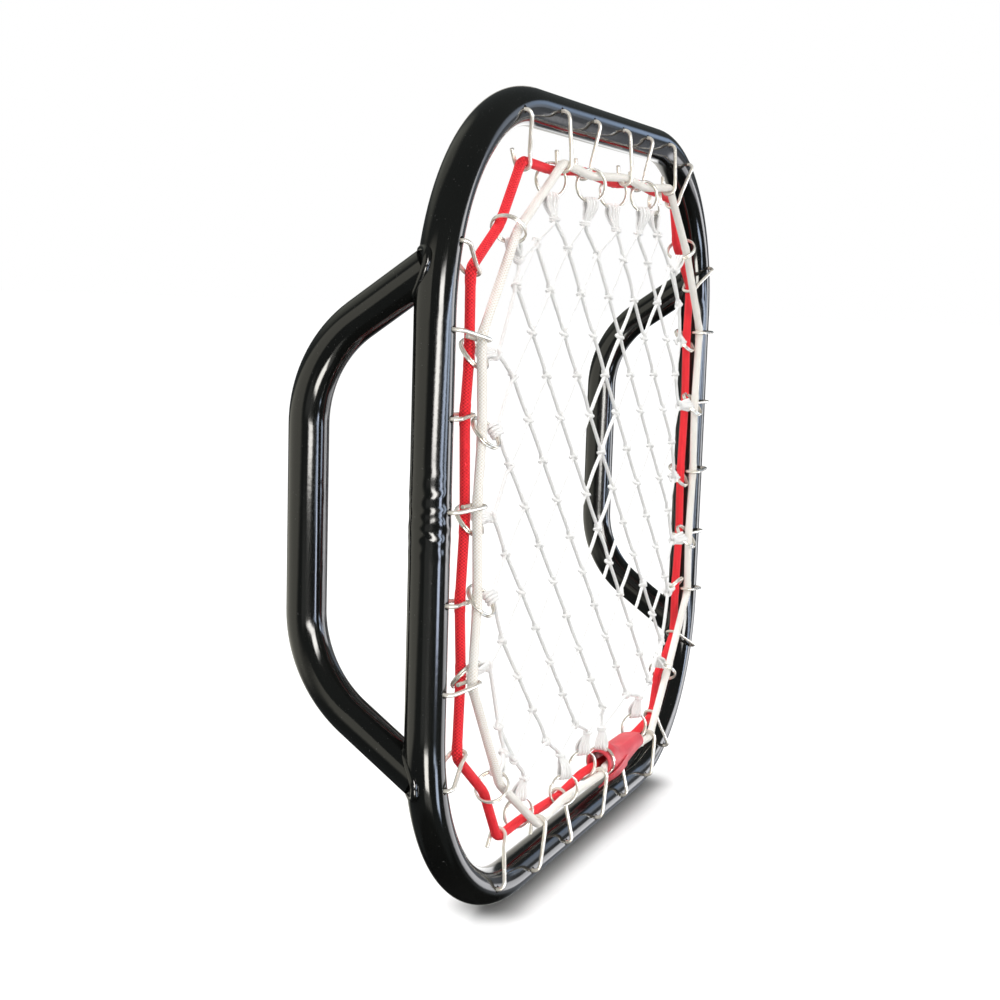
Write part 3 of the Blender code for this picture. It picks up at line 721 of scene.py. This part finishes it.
def handle_line(x):
    """One handle's middle line, from inside the tube's surface at the top round to the bottom."""
    leg = unit(np.array((HANDLE_DEPTH, HANDLE_GRIP_Z - HANDLE_ROOT_Z)))
    turn = math.acos(-leg[1])
    tangent = HANDLE_BEND * math.tan(turn / 2)
    top = [np.array((0.0, HANDLE_ROOT_Z)) + leg * HANDLE_START,
           np.array((HANDLE_DEPTH, HANDLE_GRIP_Z)) - leg * tangent]
    centre = np.array((HANDLE_DEPTH - HANDLE_BEND, HANDLE_GRIP_Z - tangent))
    for k in range(1, HANDLE_BEND_STEPS + 1):
        angle = turn * (1 - k / HANDLE_BEND_STEPS)
        top.append(centre + np.array((math.cos(angle), math.sin(angle))) * HANDLE_BEND)
    bottom = [p * (1, -1) for p in reversed(top)]
    return divided([np.array((x, y, LOOP_Z + z)) for y, z in top + bottom], HANDLE_STEP, whole=math.floor)


def weld_bead(mesh, end, way, loop):
    """A weld bead round the line where the end of a handle meets the loop."""
    across = np.array((1.0, 0.0, 0.0))
    other = unit(np.cross(way, across))
    angles = 2 * math.pi * np.arange(FILLET_POINTS) / FILLET_POINTS
    outs = [across * math.cos(angle) + other * math.sin(angle) for angle in angles]
    tries = np.arange(*FILLET_TRIES) * MM
    highs = []
    for out in outs:
        spots = end + out * TUBE_RADIUS + way * tries[:, None]
        gaps = np.min(np.linalg.norm(loop[None] - spots[:, None], axis=2), axis=1)
        inside = np.nonzero(gaps < TUBE_RADIUS)[0]
        highs.append(tries[inside[-1]] if len(inside) else tries[int(np.argmin(gaps))])
    highs = np.mean([np.roll(highs, k) for k in range(-FILLET_SMOOTH, FILLET_SMOOTH + 1)], axis=0)
    line = np.array([end + out * (TUBE_RADIUS - FILLET_IN_HANDLE) + way * (high - FILLET_IN_LOOP)
                     for out, high in zip(outs, highs)])
    along = lengths(np.vstack((line, line[:1])))
    turn = 2 * math.pi * along[:-1] / along[-1]
    radius = (FILLET_RADIUS + 0.10 * np.sin(4 * turn) + 0.06 * np.sin(11 * turn + 1.0)) * MM
    sweep(mesh, line, radius, FILLET_SIDES, closed=True)


def build_handles():
    near_loop = rounded(loop_line(3 * MM), 1 * MM, 1, 1 * MM, closed=True)
    for name, x in (("left", -HANDLE_X), ("right", HANDLE_X)):
        line = handle_line(x)
        tube = sweep(Mesh(), line, TUBE_RADIUS, TUBE_SIDES, upright=(1, 0, 0))
        piece(name + "_grip_tube", tube, [coat], "frame", [name + "_handle"], sharp=50)
        beads = Mesh()
        for end, inner in ((line[0], line[1]), (line[-1], line[-2])):
            weld_bead(beads, end, unit(inner - end), near_loop)
        piece(name + "_handle_welds", beads, [coat], "frame", [])


# Hooks

def hook_outline(cord, reach):
    """Hook wire in depth and y, in millimetres, from its end in the tube to its free tip."""
    middle, bight = CORD_Y[cord] / MM, HOOK_BIGHT[cord]
    points = [*HOOK_ROOT, *HOOK_SHOULDER[cord], (reach - HOOK_ARM_END, middle - bight + HOOK_STAND_OFF[cord])]
    for turn in np.linspace(0, math.pi, 9):
        points.append((reach + bight * math.sin(turn), middle - bight * math.cos(turn)))
    points.append((reach - HOOK_TAIL, middle + bight + HOOK_TIP_RISE))
    return points


def build_hooks():
    for side, places in HOOK_PLACES.items():
        for k, place in enumerate(places):
            along, inwards = side_axes(side, place * MM)
            x, z = loop_place(side, place * MM, 0.0)
            lean = HOOK_LEANS[side][k] * MM
            reach = math.hypot(CORD_AT_HOOK, lean)
            way = (inwards * CORD_AT_HOOK + along * lean) / reach
            outline = hook_outline("red" if k % 2 == 0 else "white", reach / MM)
            line = [np.array((x, y * MM, z)) + way * (depth * MM) for depth, y in outline]
            path = rounded(line, HOOK_BEND, 4, 1.6 * MM)
            path = np.vstack((path[0], path[0] + (path[1] - path[0]) * 0.12, path[1:-1],
                              path[-1] + (path[-2] - path[-1]) * 0.14, path[-1]))
            radius = np.full(len(path), WIRE_RADIUS)
            radius[0] *= 0.86
            radius[-1] *= 0.82
            wire = sweep(Mesh(), path, radius, WIRE_SIDES, upright=np.cross(way, (0.0, 1.0, 0.0)))
            name = f"hook_{side}_{k + 1}"
            body = {0: f"hook_{side}_first", 6: f"hook_{side}_last"}.get(k, "hooks_" + side)
            piece(name + "_wire", wire, [hook_steel], body, [name], sharp=50)


# Split rings, each two turns of wire with a crank where they cross

def ring_wire(centre, inwards, across, crank):
    """Middle line of a ring's wire, and the direction of the ring's axis."""
    normal = unit(np.cross(inwards, across))
    low, high = RING_CRANK
    path = []
    for turn in np.linspace(0, 2, RING_POINTS + 1)[3:-3]:
        share = min(1.0, max(0.0, (turn - low) / (high - low)))
        shift = (2 * share * share * (3 - 2 * share) - 1) * RING_WIRE
        angle = 2 * math.pi * turn + crank
        out = inwards * math.cos(angle) + across * math.sin(angle)
        path.append(centre + out * RING_RADIUS + normal * shift)
    return path, normal


def build_rings():
    rings = []
    for number, side in enumerate(RING_PLACES):
        for k in range(5):
            rings.append((f"ring_{side}_{k + 2}", ring_centre(side, k), 2.1 + 1.3 * k + number))
    for number, (corner, signs) in enumerate(CORNERS.items()):
        rings.append(("ring_" + corner, corner_ring(*signs), 1.2 + number))
    for name, (centre, inwards, across, along), crank in rings:
        path, normal = ring_wire(centre, inwards, across, crank)
        radius = np.full(len(path), RING_WIRE)
        radius[[0, -1]] *= 0.8
        wire = sweep(Mesh(), path, radius, RING_SIDES, upright=normal)
        piece(name + "_wire", wire, [ring_steel], "net_group", [name], sharp=50)


# Elastic cords

def cord_side(side, cord, forwards):
    """The x and z of a cord's points on one side, with a short straight on each hook and ring."""
    stops = []
    for k, place in enumerate(HOOK_PLACES[side]):
        inner = 1 <= k <= 5
        if (k % 2 == 0) == (cord == "red"):
            half = CORD_ON_HOOK if inner else CORD_ON_END_HOOK
            stops.append((place * MM, HOOK_LEANS[side][k] * MM, CORD_AT_HOOK, half))
        elif inner:
            stops.append((RING_PLACES[side][k - 1][0] * MM, 0.0, CORD_AT_RING, CORD_ON_RING))
    points = []
    for place, lean, depth, half in stops:
        x, z = loop_place(side, place, depth)
        along, inwards = side_axes(side, place)
        for step in (lean - half, lean + half):
            points.append((place + step, x + along[0] * step, z + along[2] * step))
    points.sort(key=lambda p: p[0], reverse=not forwards)
    return [(x, z) for s, x, z in points]


def cord_route(cord):
    """The whole closed route of a cord, clockwise as seen from the front."""
    reach = CORD_CORNER[cord]
    route = []
    plan = (("top", True, 1, 1), ("right", False, 1, -1), ("bottom", False, -1, -1), ("left", True, -1, 1))
    for side, forwards, sx, sz in plan:
        route += cord_side(side, cord, forwards)
        for step in (-CORD_ON_CORNER, CORD_ON_CORNER):
            route.append((sx * reach + sz * step, LOOP_Z + sz * reach - sx * step))
    return route


def build_cords():
    for cord, material in (("red", red_braid), ("white", white_braid)):
        route = [(x, CORD_Y[cord], z) for x, z in cord_route(cord)]
        path = rounded(route, CORD_BEND, 5, 1.6 * MM, closed=True)
        bend = np.roll(path, -3, 0) + np.roll(path, 3, 0) - 2 * path
        squeeze = 1.0 - np.clip(np.linalg.norm(bend, axis=1) / (14 * MM), 0.0, 0.10)
        cover = sweep(Mesh(), path, CORD_RADIUS[cord], CORD_SIDES, closed=True, upright=(0, 1, 0),
                      squash=squeeze)
        piece(cord + "_cord_braid", cover, [material], "net_group", [cord + "_cord"])


# Net

def net_point(i, j):
    """A knot's place, with the net drawn a little to one side at each edge."""
    up, right = 0.5 + 0.5 * j / NET_STEPS, 0.5 + 0.5 * i / NET_STEPS
    x = i * HALF_PITCH + NET_SHIFT["bottom"] + (NET_SHIFT["top"] - NET_SHIFT["bottom"]) * up
    z = j * HALF_PITCH + NET_SHIFT["left"] + (NET_SHIFT["right"] - NET_SHIFT["left"]) * right
    return np.array((x, NET_Y, LOOP_Z + z))


def chance(*keys):
    """A fixed number from 0 to 1 for the given keys."""
    total = 0.0
    for n, key in enumerate(keys):
        total += math.sin(key * 12.9898 + n * 78.233 + 4.1) * 43758.5453
    return total - math.floor(total)


def net_layout():
    """Knots, the strands between them and the bunches where two strands hold a ring."""
    knots, index = [], {}
    for i in range(-NET_STEPS, NET_STEPS + 1):
        for j in range(-NET_STEPS, NET_STEPS + 1):
            if (i + j) % 2:
                index[(i, j)] = len(knots)
                knots.append(net_point(i, j))
    strands = []
    for (i, j), a in index.items():
        for step in (1, -1):
            b = index.get((i + 1, j + step))
            if b is not None:
                strands.append((a, b))
    bunches = []
    for side in RING_PLACES:
        edge = NET_STEPS if side in ("top", "right") else -NET_STEPS
        level = side in ("top", "bottom")
        for k in range(5):
            spot = k * 2 - 4 if level else 4 - k * 2
            ends = [index[(n, edge) if level else (edge, n)] for n in (spot - 1, spot + 1)]
            bunches.append((*ring_centre(side, k), *ends))
    for sx, sz in CORNERS.values():
        centre, inwards, across, along = corner_ring(sx, sz)
        ends = index[(sx * (NET_STEPS - 1), sz * NET_STEPS)], index[(sx * NET_STEPS, sz * (NET_STEPS - 1))]
        low, high = sorted(ends, key=lambda knot: knots[knot].dot(along))
        bunches.append((centre, inwards, across, along, low, high))
    return knots, strands, bunches


def add_knot(mesh, here, ways, flip):
    """A netting knot: a bight from one pair of strands, and the other pair wrapped through and round it."""
    turn = sorted(ways, key=lambda w: math.atan2(w[2], w[0]))
    pairs = []
    for n in range(4):
        one, two = turn[n], turn[(n + 1) % 4]
        middle = unit(one + two)
        pairs.append((one.dot(two) + 0.3 * abs(middle[2]) + 0.05 * middle[2], n))
    n = max(pairs)[1]
    turn = turn[n:] + turn[:n]
    above, below = turn[:2], turn[2:]
    upward = unit(above[0] + above[1])
    right = np.array((upward[2], 0.0, -upward[0]))
    forward = np.array((0.0, -1.0 if flip else 1.0, 0.0))
    for shape, pair, steps in ((KNOT_BIGHT, below, 5), (KNOT_WRAP, above, 4)):
        left_way, right_way = sorted(pair, key=lambda w: w.dot(right))
        points = [here + (right * x + forward * y + upward * z) * MM for x, y, z in shape]
        points = [here + left_way * KNOT_REACH, *points, here + right_way * KNOT_REACH]
        sweep(mesh, through(points, steps), TWINE_RADIUS, TWINE_SIDES)


def add_strand(mesh, start, end, key):
    """One strand between two knots, not quite straight."""
    sway = (chance(key, 1) - 0.5) * STRAND_SWAY
    dip = (chance(key, 2) - 0.5) * STRAND_DIP
    across = unit(np.cross(end - start, (0, 1, 0)))
    points = []
    for t in np.linspace(0, 1, 7):
        belly = math.sin(math.pi * t)
        points.append(start + (end - start) * t + across * (sway * belly) + (0, dip * belly, 0))
    sweep(mesh, points, TWINE_RADIUS, TWINE_SIDES)


def neck_depth(key):
    """How far below its ring a bunch is gathered."""
    return (13.0 + 3.0 * chance(key, 5)) * MM


def add_bunch(mesh, centre, inwards, across, along, low_knot, high_knot, key):
    """The end of a mesh drawn over a ring in four strands side by side, gathered below it into two."""
    hold = centre + inwards * RING_RADIUS
    normal = unit(np.cross(inwards, across))
    if normal.dot(along) < 0:
        normal = -normal
    sense = 1.0 if across.dot(along) >= 0 else -1.0
    depth = neck_depth(key)
    to_net = np.array((0.0, NET_Y - hold[1], 0.0))
    neck = hold + inwards * depth + to_net * 0.75
    for n, place in enumerate(BUNCH_PLACES):
        side = across * ((place + (chance(key, n) - 0.5) * 0.7) * MM)
        late = along * (sense * place * 0.52 * MM)
        front = np.array((0, (1.0 if n % 2 else -1.0) * 0.9 * MM, 0))
        over = [hold + (inwards * down + normal * out) * MM + side * share for down, share, out in BUNCH_OVER]
        first, last = (hold + inwards * (down * depth) + side * share + normal * out * MM
                       + late * 0.6 + to_net * 0.4 for down, share, out in BUNCH_GATHER)
        loop = [neck + late + front, first, *over, last, neck + late - front]
        sweep(mesh, through(loop, 4), BUNCH_TWINE, TWINE_SIDES)
    collar = []
    for share in np.linspace(0, 1, 25):
        angle = 2 * math.pi * COLLAR_TURNS * share + key
        collar.append(neck + inwards * ((share - 0.5) * COLLAR_LENGTH)
                      + along * (math.cos(angle) * COLLAR_HALF) + (0, math.sin(angle) * COLLAR_DEPTH, 0))
    sweep(mesh, collar, BUNCH_TWINE, TWINE_SIDES)
    for knot, sign in ((low_knot, -1), (high_knot, 1)):
        way = unit(knot - neck)
        points = [neck + along * (sign * 1.3 * MM) - inwards * 3.0 * MM,
                  neck + along * (sign * 1.5 * MM) + inwards * 0.8 * MM,
                  neck + way * 6.5 * MM + inwards * 1.0 * MM,
                  neck + (knot - neck) * 0.6, knot - way * 5.4 * MM]
        points[2][1] += (NET_Y - points[2][1]) * 0.6
        points[3][1] = NET_Y
        sweep(mesh, through(points, 4), TWINE_RADIUS, TWINE_SIDES)


def build_net():
    mesh = Mesh()
    knots, strands, bunches = net_layout()
    ways = [[] for knot in knots]
    for number, (a, b) in enumerate(strands):
        way = unit(knots[b] - knots[a])
        ways[a].append(way)
        ways[b].append(-way)
        add_strand(mesh, knots[a] + way * KNOT_CLEAR, knots[b] - way * KNOT_CLEAR, number)
    for number, (centre, inwards, across, along, low, high) in enumerate(bunches):
        neck = centre + inwards * (RING_RADIUS + neck_depth(number))
        for knot in (low, high):
            way = neck - knots[knot]
            way[1] = 0.0
            ways[knot].append(unit(way))
        add_bunch(mesh, centre, inwards, across, along, knots[low], knots[high], number)
    for number, knot in enumerate(knots):
        row = round((knot[2] - LOOP_Z) / HALF_PITCH)
        add_knot(mesh, knot, ways[number], row % 2 == 0)
    piece("net_twine", mesh, [twine], "net_group", ["net"], sharp=60)


# Tape sleeve rolled round both cords

def add_tape(mesh, grid, thick):
    """A strip of tape from a grid of points on its outer side, with its edges closed."""
    rows, across = grid.shape[:2]
    outward = unit(np.cross(np.gradient(grid, axis=0), np.gradient(grid, axis=1)))
    points = np.vstack((grid.reshape(-1, 3), (grid - outward * thick).reshape(-1, 3)))
    row_step = lengths(grid[:, across // 2])
    side_step = lengths(grid[rows // 2])
    inner = rows * across
    faces, coords = [], []
    for k in range(rows - 1):
        for n in range(across - 1):
            a, b = k * across + n, (k + 1) * across + n
            corners = ((k, n), (k + 1, n), (k + 1, n + 1), (k, n + 1))
            spots = [(row_step[row], side_step[column]) for row, column in corners]
            faces += [(a, b, b + 1, a + 1), (inner + a + 1, inner + b + 1, inner + b, inner + a)]
            coords += spots + spots[::-1]
    edges = [(k, n, across, n > 0) for k in range(rows - 1) for n in (0, across - 1)]
    edges += [(k, n, 1, k == 0) for k in (0, rows - 1) for n in range(across - 1)]
    for k, n, step, keep in edges:
        a = k * across + n
        face = (a, a + step, inner + a + step, inner + a)
        faces.append(face if keep else face[::-1])
        coords += [(row_step[k], side_step[n])] * 4
    mesh.add(points, faces, coords)


def tape_grid(shapes):
    """Grid of points, in metres, through the cross sections of a strip of tape."""
    guides = [through([(x, *points[k]) for x, *points in shapes], 8) for k in range(len(shapes[0]) - 1)]
    grid = np.array([through([guide[row] for guide in guides], 6) for row in range(len(guides[0]))])
    return (grid + (0, 0, (LOOP_Z - LOOP_HALF) / MM)) * MM


def build_sleeve():
    """Tape folded round both cords, pinched in a ring, with a rolled lip at its mouth and a flap below it."""
    mesh = Mesh()
    front = tape_grid(SLEEVE_FRONT)
    for grid in (front, tape_grid(SLEEVE_BACK), tape_grid(SLEEVE_FLAP)):
        add_tape(mesh, grid, SLEEVE_TAPE)
    lip = front[0][10:]
    swell = np.sin(math.pi * np.linspace(0.12, 0.86, len(lip))) ** 0.6
    sweep(mesh, lip + (0.0, 0.0, -0.3 * MM), (0.5 + 1.0 * swell) * MM, LIP_SIDES)
    piece("sleeve_tape", mesh, [red_tape], "net_group", ["cord_sleeve"], sharp=50)


build_loop()
build_handles()
build_hooks()
build_rings()
build_cords()
build_net()
build_sleeve()


# Floor, world, lamps and camera

def span_mask(source, low, high, soft):
    """One between two limits of a value, falling off smoothly outside them."""
    return times(map_range(source, low - soft, low + soft), map_range(source, high + soft, high - soft))


def for_glossy_rays(tree, plain, seen, out):
    """One shader for all rays but the glossy ones, which meet the other."""
    glossy = add_node(tree, "LightPath", {}, "Is Glossy Ray")
    set_inputs(out, {"Surface": fed_node("MixShader", {0: glossy, 1: plain, 2: seen})})


def build_stage():
    """A pale floor that keeps the object's shadow, with painted shade where its glow fades along the bottom
    tube, and that reflections see through.
    """
    material, tree, shader, place = new_material("studio_floor")
    square = [(x * FLOOR_REACH, y * FLOOR_REACH, 0) for x, y in ((-1, -1), (1, -1), (1, 1), (-1, 1))]
    mesh = Mesh()
    mesh.add(square, [(0, 1, 2, 3)], [])
    add_object("floor", mesh.data("floor", [material]))
    axes = axes_of(place)
    aside = maths("SUBTRACT", maths("ABSOLUTE", axes[0]), FLOOR_SHADE_HALF)
    aside = maths("MAXIMUM", aside, 0.0)
    squares = [times(part, part) for part in (axes[1], aside)]
    away = maths("SQRT", maths("ADD", *squares))
    # Painted shade: the glow fades out in a strip along the bottom tube, darkening the floor there as well as
    # its real shadow
    glow = map_range(away, *FLOOR_SHADE_REACH, 0.0, FLOOR_GLOW)
    seen = maths("MAXIMUM", *[add_node(tree, "LightPath", {}, kind)
                                    for kind in ("Is Camera Ray", "Is Transmission Ray")])
    set_inputs(shader, {
        "Base Color": (0.35, 0.35, 0.35, 1.0), "Roughness": 0.9, "Specular IOR Level": 0.0,
        "Emission Color": (1.0, 1.0, 1.0, 1.0),
        "Emission Strength": times(seen, glow),
    })
    clear = add_node(tree, "BsdfTransparent", {})
    for_glossy_rays(tree, shader.outputs[0], clear, tree.nodes["Material Output"])


def build_world():
    """Even white light and backdrop, and for glossy rays a dark studio with patches of light."""
    world = bpy.data.worlds.new("studio")
    bpy.context.scene.world = world
    world.use_nodes = True
    tree = world.node_tree
    tree.nodes.clear()
    axes = axes_of(add_node(tree, "TexCoord", {}, "Generated"))
    around = maths("ARCTAN2", axes[1], axes[0])
    up = maths("ARCSINE", axes[2])
    color = (*ROOM_DARK, 1.0)
    for compass, height, shade, *extra in ROOM:
        turned = maths("MULTIPLY_ADD", up, -extra[0], around) if extra and extra[0] else around
        share = times(span_mask(turned, *np.radians(compass)), span_mask(up, *np.radians(height)))
        if len(extra) > 1:
            share = times(share, span_mask(axes[0], *extra[1]))
        color = mix_color(share, color, shade)
    plain, room = (add_node(tree, "Background", {"Color": shade}) for shade in ((1.0, 1.0, 1.0, 1.0), color))
    for_glossy_rays(tree, plain, room, tree.nodes.new("ShaderNodeOutputWorld"))


def lamp(name, place, target, width, height, power, color):
    data = bpy.data.lights.new(name, "AREA")
    data.shape = "RECTANGLE"
    data.size, data.size_y = width, height
    data.energy, data.color = power, color
    item = add_object(name, data)
    item.location = place
    item.rotation_mode = "QUATERNION"
    item.rotation_quaternion = (Vector(target) - Vector(place)).to_track_quat("-Z", "Y")
    item.visible_glossy = False


def build_lamps():
    lamp("key_above", place=(0.1, 1.0, 1.9), target=(0.0, 0.0, 0.2), width=1.2, height=0.8, power=24.0,
         color=(1.0, 0.99, 0.97))
    lamp("front_fill", place=(-1.41, -1.64, 0.66), target=(-0.26, 0.0, 0.45), width=0.34, height=1.28,
         power=19.0, color=(1.0, 0.98, 0.94))


def build_camera():
    data = bpy.data.cameras.new("camera")
    data.sensor_width = CAMERA_SENSOR
    data.lens = CAMERA_LENS
    item = add_object("camera", data)
    item.matrix_world = Matrix.Translation(CAMERA_PLACE)
    for degrees, axis in ((CAMERA_TURN, "Z"), (90.0 - CAMERA_RISE, "X"), (CAMERA_ROLL, "Z")):
        item.matrix_world @= Matrix.Rotation(math.radians(degrees), 4, axis)
    bpy.context.scene.camera = item


build_stage()
build_world()
build_lamps()
build_camera()
bpy.context.scene.view_settings.view_transform = "Standard"
